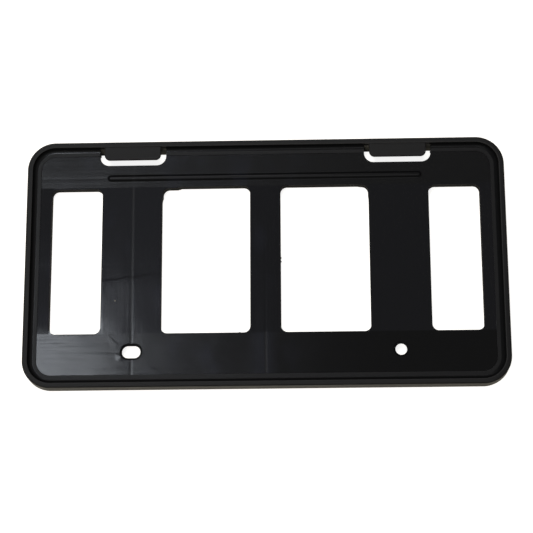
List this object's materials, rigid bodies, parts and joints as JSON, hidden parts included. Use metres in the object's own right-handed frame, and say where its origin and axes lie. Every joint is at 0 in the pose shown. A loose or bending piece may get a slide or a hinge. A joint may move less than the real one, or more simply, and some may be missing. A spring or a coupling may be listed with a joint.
{
  "type": "number plate holder",
  "caption": "Flat rectangular tray for a number plate, with a raised rim, retaining tabs at the top edge, a cross bead, windows in the panel, and a slot and a hole for the plate's screws.",
  "frame": {"origin": "centre of the back plane that the holder lies on", "axes": "+X along the plate, towards the round hole; +Y towards the plate's top edge and the tabs; +Z out of the front"},
  "size_m": [0.3216, 0.1692, 0.0105],
  "materials": {
    "black_plastic": "black moulded plastic, smooth and slightly glossy on the panel, fine-grained on the rim and tabs"
  },
  "bodies": {
    "root": {"plate_holder": "black_plastic"}
  },
  "joints": []
}
